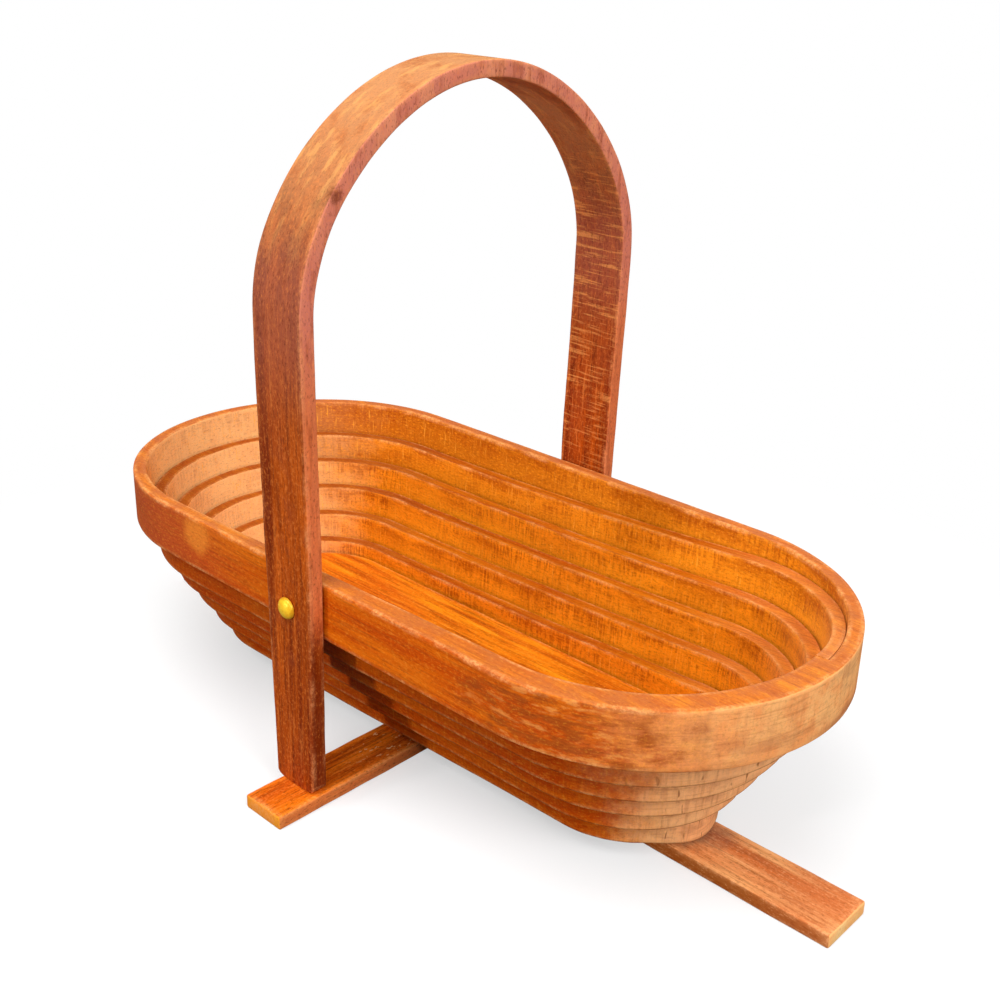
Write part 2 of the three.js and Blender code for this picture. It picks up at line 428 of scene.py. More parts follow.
def leg_x(x, rise):
    """The legs' back edge draws in towards the foot."""
    if x > 0:
        return x
    share = min(max((NARROWING_RISE - rise) / (NARROWING_RISE + FOOT_REACH), 0.0), 1.0)
    return x * (1 - share * FOOT_NARROWING / (HANDLE_WIDTH / 2))


def foot_drop(x):
    """How far below the pin the leg's end lies: round about the pin, with eased corners."""
    edge = HANDLE_WIDTH / 2 - (FOOT_NARROWING if x < 0 else 0.0)
    shoulder = edge - LEG_CORNER
    beyond = min(max(abs(x) - shoulder, 0.0) / LEG_CORNER, 1.0)
    inner = min(abs(x), shoulder)
    plain = math.sqrt(FOOT_REACH ** 2 - inner ** 2)
    return plain - LEG_CORNER * (1 - math.sqrt(max(1 - beyond ** 2, 0.0)))


def hoop_frames():
    """Places up one leg, over the arch and down the other, with the way in from the edge."""
    leg_steps = 44
    arch_steps = 120
    rises = [-FOOT_REACH + (SPRING_RISE + FOOT_REACH) * i / leg_steps for i in range(leg_steps)]
    far_leg = [leg_frame(1, rise) for rise in rises]
    near_leg = [leg_frame(-1, rise) for rise in reversed(rises)]
    arch = [arch_frame(math.pi * i / arch_steps) for i in range(arch_steps + 1)]
    return far_leg + arch + near_leg


def handle_spot(edge, inward, across, x, wear):
    point = edge + inward * across
    y, rise = point
    x = leg_x(x, rise)
    if rise < 0:
        rise = rise * foot_drop(x) / FOOT_REACH
    grain = (rise, x, y)
    tilted = Matrix.Rotation(HANDLE_LEAN, 3, "Y") @ Vector((x, y, rise))
    return Spot((tilted.x + PIN_X, tilted.y, tilted.z + PIN_Z), grain, wear=wear)


def handle_piece():
    sections = []
    along = 0.0
    before = None
    for edge, inward in hoop_frames():
        along += (edge - before).length if before else 0.0
        before = edge
        eased = worn_edge(HANDLE_EDGE, 0.4, along, row=4, pitch=12.0)
        profile = full_profile(HANDLE_THICKNESS, HANDLE_WIDTH, eased, steps=8)
        sections.append([
            handle_spot(edge, inward, across, HANDLE_WIDTH / 2 - down, wear)
            for across, down, wear, _ in profile
        ])
    return swept_piece("hoop_handle", sections, ring=False)


# The pins

def pin_profile():
    """Radius and distance out along the pin: tip, shank, the head's flat seat and its dome."""
    chamfer = 0.4
    lip_width = 0.25
    lip_height = 0.12
    brim = 0.35
    dome_steps = 9
    points = [(0.0, PIN_TIP), (SHANK_RADIUS - chamfer, PIN_TIP)]
    points += [(SHANK_RADIUS, PIN_TIP + chamfer), (SHANK_RADIUS, HEAD_SEAT)]
    points += [(HEAD_RADIUS - lip_width, HEAD_SEAT)]
    points += [(HEAD_RADIUS, HEAD_SEAT + lip_height), (HEAD_RADIUS, HEAD_SEAT + brim)]
    for i in range(1, dome_steps + 1):
        angle = math.pi / 2 * i / dome_steps
        rise = brim + (HEAD_HEIGHT - brim) * math.sin(angle)
        points.append((HEAD_RADIUS * math.cos(angle), HEAD_SEAT + rise))
    return points


def pin_piece(name, side):
    """Rings of spots about the pin's axis, closed by a fan at its tip and its crown."""
    sides = 48
    worn_from = 0.75
    profile = pin_profile()
    rings = profile[1:-1]
    spots = []
    for radius, out in rings:
        for i in range(sides):
            turn = 2 * math.pi * i / sides
            place = (PIN_X + radius * math.cos(turn), side * out, PIN_Z + radius * math.sin(turn))
            worn = smoothstep(HEAD_RADIUS * worn_from, HEAD_RADIUS, radius)
            spots.append(Spot(place, place, wear=worn))
    for _, out in (profile[0], profile[-1]):
        place = (PIN_X, side * out, PIN_Z)
        spots.append(Spot(place, place))
    tip = len(spots) - 2
    crown = len(spots) - 1
    faces = grid_faces(len(rings), sides, ring=False, closed=True)
    last = (len(rings) - 1) * sides
    for i in range(sides):
        j = (i + 1) % sides
        faces.append((tip, j, i))
        faces.append((crown, last + i, last + j))
    return make_mesh(name, spots, faces)


# The cross

def bar_stations(half_length, half_notch):
    """Places along half a bar from its middle: (distance, how far the end is eased, in notch)."""
    notch_steps = 6
    plain_steps = 40
    end_steps = 4
    notch_face = 0.02
    start = half_notch + notch_face
    plain = half_length - BAR_EDGE
    places = [(half_notch * i / notch_steps, 0.0, True) for i in range(notch_steps + 1)]
    for i in range(plain_steps + 1):
        places.append((start + (plain - start) * i / plain_steps, 0.0, False))
    for i in range(1, end_steps + 1):
        angle = math.pi / 2 * i / end_steps
        places.append((plain + BAR_EDGE * math.sin(angle), BAR_EDGE * (1 - math.cos(angle)), False))
    return places


def bar_section(distance, low, high, width, row, worn_end):
    """A section of a bar that lies along X. A spot's place is also its grain."""
    eased = worn_edge(BAR_EDGE, 0.4, distance, row, pitch=11.0)
    eased = min(eased, (high - low) * MOST_BAR_EASED)
    section = []
    for across, down, wear, _ in full_profile(high - low, width, eased, steps=4):
        place = (distance, width / 2 - down, high - across)
        section.append(Spot(place, place, wear=max(wear, worn_end)))
    return section


def bar_sections(half_length, width, other_width, cut_from_top, row):
    """A bar of the cross, cut to half its depth in the middle where it laps the other one."""
    half = bar_stations(half_length, other_width / 2 + REST_GAP)
    mirrored = [(-distance, ease, notch) for distance, ease, notch in reversed(half[1:])]
    middle = BAR_THICKNESS / 2
    sections = []
    for distance, ease, notch in mirrored + half:
        low = middle + REST_GAP / 2 if notch and not cut_from_top else ease
        high = middle - REST_GAP / 2 if notch and cut_from_top else BAR_THICKNESS - ease
        wear_from = half_length - END_WEAR_FROM
        wear_full = half_length - END_WEAR_FULL
        worn_end = smoothstep(wear_from, wear_full, abs(distance))
        sections.append(bar_section(distance, low, high, width - 2 * ease, row, worn_end))
    return sections


def crossbar_piece(cross_width, long_width):
    """The crossbar lies along Y, so its places turn a quarter round and its grain stays."""
    sections = bar_sections(CROSS_HIGH.y, cross_width, long_width, cut_from_top=True, row=6)
    for section in sections:
        for spot in section:
            along, sideways, z = spot.place
            spot.place = (-sideways, along, z)
    return swept_piece("crossbar_wood", sections, ring=False)


def long_bar_piece(cross_width, long_width):
    sections = bar_sections(LONG_HIGH.x, long_width, cross_width, cut_from_top=False, row=5)
    return swept_piece("long_bar_wood", sections, ring=False)


# Materials

def colour(red, green, blue):
    """A colour as it is seen, 0 to 255, in the linear values that shaders take."""
    def linear(value):
        value /= 255.0
        return value / 12.92 if value <= 0.04045 else ((value + 0.055) / 1.055) ** 2.4
    return linear(red), linear(green), linear(blue), 1.0


def tone_table(**seen):
    return {name: colour(*value) for name, value in seen.items()}


# A mix node has sockets for numbers, vectors and colours. These are its colour ones.
MIX_FIRST = 6
MIX_SECOND = 7
MIX_RESULT = 2
BUMP_STRENGTH = 0.6


class Graph:
    """The nodes of a material or a world. Methods take numbers and sockets alike."""

    def __init__(self, owner):
        self.owner = owner
        owner.use_nodes = True
        self.tree = owner.node_tree
        self.tree.nodes.clear()

    def add(self, kind, **settings):
        node = self.tree.nodes.new("ShaderNode" + kind)
        for key, value in settings.items():
            setattr(node, key, value)
        return node

    def put(self, socket, value):
        if isinstance(value, bpy.types.NodeSocket):
            self.tree.links.new(value, socket)
        else:
            socket.default_value = value

    def fill(self, node, values):
        """Puts values into a node's sockets, by their names or places."""
        for key, value in values.items():
            self.put(node.inputs[key], value)

    def math(self, operation, first, second=0.0, clamp=False):
        node = self.add("Math", operation=operation, use_clamp=clamp)
        self.fill(node, {0: first, 1: second})
        return node.outputs[0]

    def product(self, first, *others):
        for other in others:
            first = self.math("MULTIPLY", first, other)
        return first

    def attribute(self, name, output):
        return self.add("Attribute", attribute_name=name).outputs[output]

    def parts(self, vector):
        split = self.add("SeparateXYZ")
        self.put(split.inputs[0], vector)
        return split.outputs

    def scaled(self, vector, scale):
        node = self.add("Mapping")
        self.fill(node, {"Vector": vector, "Scale": scale})
        return node.outputs[0]

    def noise(self, vector, scale, detail, rough):
        """A noise over a vector, with its own scale on each axis."""
        node = self.add("TexNoise")
        place = self.scaled(vector, scale)
        self.fill(node, {"Vector": place, "Scale": 1.0, "Detail": detail, "Roughness": rough})
        return node.outputs["Fac"]

    def span(self, value, low, high, start=0.0, end=1.0):
        """A smooth step: start where the value is at low, end where it is at high."""
        node = self.add("MapRange", interpolation_type="SMOOTHSTEP")
        self.fill(node, {"Value": value, "From Min": low, "From Max": high})
        self.fill(node, {"To Min": start, "To Max": end})
        return node.outputs[0]

    def mix(self, factor, first, second):
        node = self.add("Mix", data_type="RGBA")
        self.fill(node, {"Factor": factor, MIX_FIRST: first, MIX_SECOND: second})
        return node.outputs[MIX_RESULT]

    def facing(self, axis):
        """How squarely a surface faces along an axis of the piece, from -1 to 1."""
        dot = self.add("VectorMath", operation="DOT_PRODUCT")
        self.fill(dot, {0: self.add("TexCoord").outputs["Normal"], 1: axis})
        return dot.outputs["Value"]

    def patch(self, place, centre, stretch, uneven, soft=0.5):
        """A ragged patch about a point, 1 in its middle: stretch is its half size on each axis."""
        apart = self.add("VectorMath", operation="DISTANCE")
        shrink = [1.0 / size for size in stretch]
        middle = [c * s for c, s in zip(centre, shrink)]
        self.fill(apart, {0: self.scaled(place, shrink), 1: middle})
        ragged = self.math("ADD", apart.outputs["Value"], uneven)
        return self.span(ragged, 1.0 - soft, 1.0 + soft, 1.0, 0.0)

    def show(self, kind, result):
        self.put(self.add(kind).inputs["Surface"], result)

    def shade(self, base, roughness, height, relief, specular):
        """Shader and output, with the height as a relief of so many millimetres."""
        bump = self.add("Bump")
        self.fill(bump, {"Strength": BUMP_STRENGTH, "Distance": relief * METRE, "Height": height})
        shader = self.add("BsdfPrincipled")
        self.fill(shader, {"Base Color": base, "Roughness": roughness, "Normal": bump.outputs[0]})
        shader.inputs["Specular IOR Level"].default_value = specular
        self.show("OutputMaterial", shader.outputs[0])
        return shader


class Wood(Graph):
    """Oiled wood. The first value of the grain attribute runs along the fibres, in millimetres."""

    def __init__(self, name, axis, tones):
        super().__init__(bpy.data.materials.new(name))
        self.tones = tones
        self.grain = self.attribute("grain", "Vector")
        self.streaks = self.noise(self.grain, (0.007, 0.15, 0.15), 3.0, 0.55)
        self.fibres = self.noise(self.grain, (0.028, 0.62, 0.62), 4.0, 0.68)
        self.flecks = self.noise(self.grain, (0.1, 0.95, 0.95), 2.0, 0.6)
        self.cloud = self.noise(self.grain, (0.013, 0.03, 0.03), 3.0, 0.55)
        self.mottle = self.noise(self.grain, (0.09, 0.09, 0.09), 4.0, 0.6)
        self.speckle = self.noise(self.grain, (0.7, 0.7, 0.7), 3.0, 0.7)
        self.dust = self.noise(self.grain, (0.55, 1.25, 1.25), 2.0, 0.7)
        self.end_share = self.end_faces(axis)
        self.long_side = self.span(self.end_share, 0.0, 1.0, 1.0, 0.0)
        self.base = self.mix(self.end_share, self.long_grain(), self.end_grain())
        self.relief = self.fibre_relief()

    def ragged(self, pattern, amount):
        """A noise spread evenly about zero, that makes a border ragged."""
        return self.span(pattern, 0.3, 0.7, -amount, amount)

    def end_faces(self, axis):
        """How far a face shows end grain: most where it lies square to the fibres."""
        square = self.math("ABSOLUTE", self.facing(axis))
        return self.span(self.math("ADD", square, self.ragged(self.mottle, 0.1)), 0.24, 1.0)

    def long_grain(self):
        """Broad streaks, dark and pale fibres, short dark flecks and a pale speckle."""
        tones = self.tones
        base = self.mix(self.span(self.streaks, 0.36, 0.64), tones["dark"], tones["light"])
        base = self.mix(self.span(self.cloud, 0.44, 0.66, 0.0, 0.6), base, tones["red"])
        base = self.mix(self.span(self.fibres, 0.3, 0.54, 0.55, 0.0), base, tones["pore"])
        base = self.mix(self.span(self.fibres, 0.54, 0.72, 0.0, 0.45), base, tones["thread"])
        base = self.mix(self.span(self.flecks, 0.58, 0.7, 0.0, 0.45), base, tones["pore"])
        return self.mix(self.span(self.speckle, 0.53, 0.68, 0.0, 0.3), base, tones["thread"])

    def end_grain(self):
        """Pale and mottled, with reddish clouds and fine dark pores."""
        tones = self.tones
        base = self.mix(self.span(self.mottle, 0.36, 0.66), tones["end_light"], tones["end_dark"])
        base = self.mix(self.span(self.cloud, 0.4, 0.68, 0.0, 0.5), base, tones["end_red"])
        return self.mix(self.span(self.speckle, 0.5, 0.7, 0.0, 0.22), base, tones["pore"])

    def fibre_relief(self):
        height = self.math("SUBTRACT", self.fibres, self.math("MULTIPLY", self.flecks, 0.7))
        return self.math("ADD", height, self.math("MULTIPLY", self.speckle, 0.5))

    def stain(self, tone, *shares):
        """Mixes in a tone, given by name or as a socket, as strongly as the shares multiply to."""
        if isinstance(tone, str):
            tone = self.tones[tone]
        self.base = self.mix(self.product(*shares), self.base, tone)

    def sprinkle(self, dark, pale):
        """Fine specks all over: dark ones, fainter on end grain, and pale ones."""
        calm = self.span(self.end_share, 0.0, 1.0, 1.0, 0.4)
        self.stain("pore", self.span(self.dust, 0.46, 0.3, 0.0, dark), calm)
        self.stain("thread", self.span(self.dust, 0.54, 0.7, 0.0, pale))

    def wear(self, share):
        """Pale worn edges, broken up into patches and small chips."""
        uneven = self.span(self.mottle, 0.4, 0.62, 0.1, 1.0)
        chips = self.span(self.speckle, 0.44, 0.58, 0.55, 1.35)
        self.stain("worn", self.attribute("wear", "Fac"), uneven, chips, share)

    def finish(self, specular, relief):
        """The material: a little glossier in clouds, and duller on end grain."""
        rough = self.math(
            "ADD",
            self.span(self.cloud, 0.3, 0.7, 0.44, 0.56),
            self.math("MULTIPLY", self.end_share, 0.14),
        )
        self.shade(self.base, rough, self.relief, relief, specular)
        return self.owner


BOARD_TONES = tone_table(
    dark=(200, 92, 6),
    light=(252, 146, 18),
    red=(208, 90, 14),
    pore=(108, 38, 4),
    thread=(255, 178, 60),
    end_light=(250, 187, 120),
    end_dark=(241, 157, 92),
    end_red=(228, 132, 76),
    worn=(252, 184, 116),
    plain=(252, 142, 14),
    rim_inside=(170, 82, 8),
    golden=(255, 172, 40),
    patch=(246, 146, 52),
    cream=(248, 205, 138),
    # Bright specks on the walls, and the painted light along the far wall
    bright=(255, 166, 32),
    # Dark brown for specks on the walls, and the painted shade under the lips
    wall_shade=(160, 62, 2),
    stroke=(150, 58, 4),
    ledge_left=(142, 66, 24),
    ledge_far=(146, 60, 6),
    ledge_right=(204, 120, 62),
    rim_top_left=(190, 103, 57),
    rim_top_right=(187, 101, 48),
    rim_red=(176, 76, 40),
    rim_side=(202, 66, 0),
    strip_side=(188, 58, 0),
    strip_end=(250, 188, 134),
    blotch_dark=(150, 70, 22),
    blotch_pale=(240, 164, 84),
    # Brown clouds on the ends, and the painted shade low on the rim's ends
    low_edge=(140, 74, 52),
    stroke_end=(170, 96, 58),
)
HANDLE_TONES = tone_table(
    dark=(128, 40, 0),
    light=(190, 82, 10),
    red=(150, 54, 16),
    pore=(84, 26, 6),
    thread=(240, 138, 62),
    end_light=(236, 164, 104),
    end_dark=(226, 144, 80),
    end_red=(214, 124, 72),
    worn=(240, 156, 98),
    # Painted sheen: a paler, greyer tone over the arch
    arch=(164, 112, 74),
    flush=(158, 82, 72),
    figure=(250, 186, 104),
    side=(244, 138, 88),
    side_high=(238, 142, 122),
    side_dark=(150, 66, 34),
    # Painted shade on the +X faces low on the legs
    side_low=(118, 36, 2),
    scratch=(244, 164, 88),
    knot=(110, 46, 18),
)
LONG_BAR_TONES = tone_table(
    dark=(222, 118, 52),
    light=(255, 184, 114),
    red=(230, 126, 64),
    pore=(150, 66, 22),
    thread=(255, 192, 128),
    end_light=(255, 206, 138),
    end_dark=(254, 184, 106),
    end_red=(234, 142, 78),
    worn=(252, 184, 124),
    side=(164, 75, 0),
    tip=(194, 104, 54),
    # Painted shadow of the bowl on the long bar
    smudge=(112, 82, 66),
)
CROSSBAR_TONES = tone_table(
    dark=(196, 80, 6),
    light=(252, 130, 20),
    red=(214, 92, 16),
    pore=(96, 34, 8),
    thread=(248, 154, 70),
    end_light=(236, 155, 32),
    end_dark=(236, 134, 14),
    end_red=(224, 116, 14),
    worn=(250, 172, 98),
    side=(244, 144, 84),
    chip=(255, 210, 156),
)
BRASS_TONES = tone_table(
    bright=(255, 206, 44),
    deep=(252, 178, 26),
    dull=(160, 96, 14),
)


class BoardWood(Wood):
    """The board: its ends show end grain, and the walls of the cut show the saw.

    The grain's values are the place along and across the board, and the height from its top.
    The sheet unrolls the strip: the length along it from the start of the rim, and that height.
    """

    def __init__(self):
        super().__init__("board_wood", (1.0, 0.0, 0.0), BOARD_TONES)
        self.x, self.y, self.depth = self.parts(self.grain)
        self.sawn = self.attribute("sawn", "Fac")
        self.outer = self.attribute("outer", "Fac")
        self.inner = self.math("SUBTRACT", self.sawn, self.outer, clamp=True)
        self.upward = self.span(self.facing((0.0, 0.0, 1.0)), 0.55, 0.9)
        self.far_side = self.span(self.y, 15, 45)
        along = self.attribute("along", "Fac")
        self.find_turns(along)
        self.rim_side = self.math("SUBTRACT", self.outer, self.past_rim, clamp=True)
        sheet = self.add("CombineXYZ")
        self.fill(sheet, {0: along, 1: self.depth})
        self.sheet = sheet.outputs[0]

    def find_turns(self, along):
        """Where the rim ends, where the plate begins, and how far up the bowl a turn lies."""
        border = 1.0
        second_turn = 2 * TRACK_LENGTH
        plate_start = (TURNS + 1) * TRACK_LENGTH
        self.past_rim = self.span(along, TRACK_LENGTH, TRACK_LENGTH + border)
        self.before_plate = self.span(along, plate_start - border, plate_start, 1.0, 0.0)
        self.upper_turns = self.product(
            self.span(along, TRACK_LENGTH, TRACK_LENGTH + border, 1.0, 0.5),
            self.span(along, second_turn, second_turn + border, 1.0, 0.0),
        )

    def pattern(self, along, down, detail, rough):
        """A noise over the sheet, with its scale along the strip and down it."""
        return self.noise(self.sheet, (along, down, 1.0), detail, rough)

    def stain_inside(self):
        """Golden inside, cream at the left end and brighter where the far wall turns."""
        self.stain("plain", self.inner, self.long_side, 0.4)
        left_end = self.span(self.x, -84, -118)
        self.stain("cream", self.inner, self.end_share, left_end, 0.55)
        turn = self.product(
            self.span(self.x, -150, -122),
            self.span(self.x, -104, -80, 1.0, 0.0),
        )
        self.stain("golden", self.inner, self.far_side, turn, 0.22)

    def stain_far_wall(self):
        """Brighter along the far wall, partly its golden tone and partly painted light, most low on
        each wall; dim on the rim and the first turn; painted shade in clouds near the tops, under
        the lips.
        """
        far_wall = self.math("MULTIPLY", self.inner, self.far_side)
        # Painted light: brighter along the far wall, more low on each wall than near its top
        right = self.span(self.x, -115, -70)
        low = self.span(self.depth, -10, -2, 0.7, 0.45)
        self.stain("bright", far_wall, right, low)
        dim = self.span(self.x, -100, 100, 0.72, 0.3)
        self.stain("rim_inside", far_wall, self.upper_turns, dim)
        # Painted shade: brown clouds near the top of each wall, under the lip
        clouds = self.span(self.pattern(0.027, 0.11, 4.0, 0.62), 0.43, 0.62)
        near_top = self.span(self.depth, -8.5, -0.5, 0.16, 0.64)
        self.stain("wall_shade", far_wall, clouds, near_top)

    def stain_weave(self):
        """A fine weave of dark and bright specks on the inner walls."""
        weave = self.pattern(0.62, 1.15, 2.0, 0.7)
        self.stain("wall_shade", self.inner, self.span(weave, 0.46, 0.3, 0.0, 0.45))
        self.stain("bright", self.inner, self.span(weave, 0.54, 0.7, 0.0, 0.5))

    def stain_outside(self):
        """The outside of the turns: reddish along the sides and tan at the ends."""
        outside = self.math("MULTIPLY", self.outer, self.past_rim)
        self.stain("strip_side", outside, self.span(self.end_share, 0.0, 0.85, 0.75, 0.0))
        self.stain("strip_end", outside, self.span(self.end_share, 0.1, 1.0), 0.55)

    def stain_tops(self):
        """The ledges, brown at the left and pinkish at the right, and the top of the rim."""
        tones = self.tones
        tone = self.mix(self.span(self.x, -100, -60), tones["ledge_left"], tones["ledge_far"])
        tone = self.mix(self.span(self.x, 70, 115), tone, tones["ledge_right"])
        strength = self.span(self.x, -95, -60, 0.78, 0.56)
        self.stain(tone, self.upward, self.past_rim, self.before_plate, strength)
        rim = self.math("SUBTRACT", self.upward, self.past_rim, clamp=True)
        right = self.span(self.x, -40, 60)
        tone = self.mix(right, tones["rim_top_left"], tones["rim_top_right"])
        self.stain(tone, rim, self.span(self.mottle, 0.35, 0.62, 0.9, 0.5))

    def stain_rim(self):
        """The rim's outside: reddish, most at the left, with fine rows and one pale patch."""
        self.stain("rim_side", self.rim_side, self.long_side, 0.6)
        self.stain("rim_red", self.rim_side, self.span(self.x, -110, -20, 0.75, 0.0))
        rows = self.span(self.pattern(0.03, 0.9, 3.0, 0.65), 0.5, 0.66)
        self.stain("blotch_dark", self.rim_side, self.long_side, rows, 0.4)
        wobble = self.ragged(self.mottle, 0.14)
        pale = self.patch(self.grain, (-70, -79, -7.5), (8.5, 9.0, 7.2), wobble, 0.35)
        self.stain("patch", pale, self.rim_side, 0.55)

    def stain_corner(self):
        """Dark and pale blotches on the rim's near right corner."""
        uneven = self.ragged(self.mottle, 0.35)
        corner = self.patch(self.grain, (122, -73, -11), (34, 28, 24), uneven)
        corner = self.math("MULTIPLY", corner, self.rim_side)
        self.stain("blotch_dark", corner, 0.2)
        blotch = self.pattern(0.1, 0.26, 4.0, 0.62)
        self.stain("blotch_dark", corner, self.span(blotch, 0.46, 0.6), 0.7)
        self.stain("blotch_pale", corner, self.span(blotch, 0.46, 0.34), 0.45)

    def stain_ends(self):
        """The outer ends: rows, upright strokes, brown clouds, and painted shade low on the rim's
        ends.
        """
        ends = self.math("MULTIPLY", self.outer, self.end_share)
        rows = self.span(self.pattern(0.05, 0.85, 3.0, 0.65), 0.5, 0.68)
        self.stain("blotch_dark", ends, rows, 0.28)
        upright = self.span(self.pattern(0.4, 0.04, 3.0, 0.65), 0.5, 0.66)
        self.stain("stroke_end", ends, upright, self.span(self.past_rim, 0.0, 1.0, 0.2, 0.3))
        brown = self.span(self.pattern(0.04, 0.1, 4.0, 0.62), 0.49, 0.64)
        self.stain("low_edge", ends, brown, 0.3)
        # Painted shade low on the rim's end faces, towards the far side
        low = self.span(self.depth, 5.5 - THICKNESS, 0.5 - THICKNESS)
        far = self.span(self.y, -20, 10)
        self.stain("low_edge", self.rim_side, self.end_share, low, far, 0.6)

    def saw_marks(self, tint, groove):
        """Upright strokes that the saw left on the cut walls, in groups, strongest near the top."""
        strokes = self.pattern(0.8, 0.09, 3.0, 0.66)
        rows = self.pattern(0.07, 1.0, 2.0, 0.6)
        groups = self.pattern(0.035, 0.13, 3.0, 0.62)
        hanging = self.span(self.depth, -13, -1, 0.45, 1.0)
        left = self.span(self.x, -104, -94, 1.0, 0.0)
        right = self.span(self.x, -80, -50, 0.2, 1.0)
        off_corner = self.math("ADD", left, right)
        shown = self.product(self.sawn, hanging, off_corner, self.span(groups, 0.38, 0.54))
        crossed = self.span(rows, 0.34, 0.62, 0.35, 1.0)
        tone = self.mix(self.end_share, self.tones["stroke"], self.tones["stroke_end"])
        faint = self.span(self.end_share, 0.0, 1.0, tint, tint * 0.45)
        self.stain(tone, shown, self.span(strokes, 0.43, 0.62), crossed, faint)
        grooves = self.product(strokes, self.sawn, groove)
        self.relief = self.math("SUBTRACT", self.relief, grooves)

    def fine_marks(self):
        """Thin pale scratches, fewer outside, and dark ticks on the outer ends of the turns."""
        scratches = self.span(self.pattern(1.05, 0.075, 2.0, 0.6), 0.6, 0.72)
        self.stain("thread", self.sawn, scratches, self.span(self.outer, 0.0, 1.0, 0.5, 0.12))
        ticks = self.span(self.pattern(0.42, 0.13, 1.0, 0.4), 0.7, 0.76)
        self.stain("pore", ticks, self.sawn, self.outer, self.end_share, 0.7)

    def darken_edges(self):
        """Painted shade in the creases where a wall meets the ledge below it, and along the lower
        edges of the turns.
        """
        # Painted shade in the crease at the foot of each inner wall
        crease = self.span(self.attribute("foot", "Fac"), 0.2, 1.1, 1.0, 0.0)
        self.stain("pore", crease, self.inner, 0.16)
        # Painted shade along the lower edges of the turns, where the gap to the next turn lies
        low = self.span(self.depth, 0.9 - THICKNESS, 0.2 - THICKNESS)
        self.stain("pore", low, self.past_rim, 0.75)


def board_wood():
    wood = BoardWood()
    wood.stain_inside()
    wood.stain_far_wall()
    wood.stain_weave()
    wood.stain_outside()
    wood.stain_tops()
    wood.stain_rim()
    wood.stain_corner()
    wood.stain_ends()
    wood.saw_marks(tint=0.72, groove=0.9)
    wood.fine_marks()
    wood.darken_edges()
    wood.sprinkle(dark=0.28, pale=0.2)
    wood.wear(wood.span(wood.past_rim, 0.0, 1.0, 0.42, 0.34))
    return wood.finish(specular=0.05, relief=0.28)


class HandleWood(Wood):
    """The hoop. The grain's values are the rise above the pins, the place along X and across."""

    def __init__(self):
        super().__init__("handle_wood", (0.0, 0.0, 1.0), HANDLE_TONES)
        self.rise, _, self.y = self.parts(self.grain)

    def stain_height(self):
        """Dark low down, greyer over the arch as painted sheen, flushed at the shoulders, and
        figured on top.
        """
        # Painted sheen: a paler, greyer tone that rises over the arch
        self.stain("arch", self.span(self.rise, 35, 185, 0.0, 0.54))
        shoulder = self.span(self.rise, 70, 105)
        self.stain("flush", shoulder, self.span(self.rise, 120, 148, 0.4, 0.0))
        self.stain("side_dark", self.span(self.mottle, 0.5, 0.66, 0.0, 0.35))
        figure = self.span(self.noise(self.grain, (0.045, 0.26, 0.1), 4.0, 0.62), 0.48, 0.68)
        self.stain("figure", figure, self.span(self.rise, 115, 165, 0.0, 0.34))

    def stain_sides(self):
        """The faces towards +X: pinkish, with painted shade at the feet, and long dark blots."""
        side = self.span(self.facing((1.0, 0.0, 0.0)), 0.45, 0.9)
        above_foot = self.span(self.rise, -22, 12)
        high = self.span(self.rise, 70, 120)
        tone = self.mix(high, self.tones["side"], self.tones["side_high"])
        self.stain(tone, side, above_foot, 0.55)
        # Painted shade on the +X faces at the feet
        foot = self.math("MULTIPLY", side, 0.75)
        self.stain("side_low", self.math("SUBTRACT", foot, above_foot, clamp=True))
        blots = self.span(self.noise(self.grain, (0.05, 0.3, 0.3), 3.0, 0.6), 0.5, 0.66)
        self.stain("side_dark", side, blots, 0.45)

    def fine_marks(self):
        """Cross scratches inside the far leg, and one knot on the near side of the arch."""
        scratch = self.span(self.noise(self.grain, (0.9, 0.05, 0.2), 3.0, 0.65), 0.52, 0.66)
        inside = self.product(
            self.span(self.y, 60, 70),
            self.span(self.rise, -10, 40),
            self.span(self.facing((0.0, -1.0, 0.0)), 0.3, 0.8),
        )
        self.stain("scratch", scratch, inside, 0.55)
        border = self.ragged(self.speckle, 0.3)
        knot = self.patch(self.grain, (150, 12.6, -71.5), (2.6, 2.4, 2.4), border)
        self.stain("knot", knot, 0.7)


def handle_wood():
    wood = HandleWood()
    wood.stain_height()
    wood.stain_sides()
    wood.fine_marks()
    wood.sprinkle(dark=0.5, pale=0.3)
    wood.wear(0.32)
    return wood.finish(specular=0.07, relief=0.25)


def crossbar_wood():
    """The crossbar: pale chips on top between the bowl and the near leg, and a lighter side."""
    wood = Wood("crossbar_wood", (0.0, 1.0, 0.0), CROSSBAR_TONES)
    chips = wood.span(wood.noise(wood.grain, (0.3, 0.55, 0.4), 2.0, 0.6), 0.62, 0.67)
    place = wood.patch(wood.grain, (-40, 0, 6), (18, 9, 4), 0.0)
    wood.stain("chip", chips, place, 0.8)
    wood.stain("side", wood.span(wood.facing((1.0, 0.0, 0.0)), 0.5, 0.9, 0.0, 0.5))
    wood.sprinkle(dark=0.5, pale=0.25)
    wood.wear(0.38)
    return wood.finish(specular=0.07, relief=0.28)


def long_bar_wood():
    """The long bar: a dark near side, a duller tip, and a grey painted shadow where it leaves the
    bowl.
    """
    wood = Wood("long_bar_wood", (1.0, 0.0, 0.0), LONG_BAR_TONES)
    wood.stain("side", wood.span(wood.facing((0.0, -1.0, 0.0)), 0.5, 0.9, 0.0, 0.85))
    tip = wood.span(wood.parts(wood.grain)[0], 150, 175, 0.0, 0.58)
    wood.stain("tip", tip, wood.long_side)
    # Painted shadow: a grey patch where the bar passes out from under the bowl
    uneven = wood.ragged(wood.mottle, 0.3)
    smudge = wood.patch(wood.grain, (125, 3, 6), (13, 10, 5), uneven)
    wood.stain("smudge", smudge, 0.7)
    wood.sprinkle(dark=0.5, pale=0.25)
    wood.wear(0.38)
    return wood.finish(specular=0.1, relief=0.28)


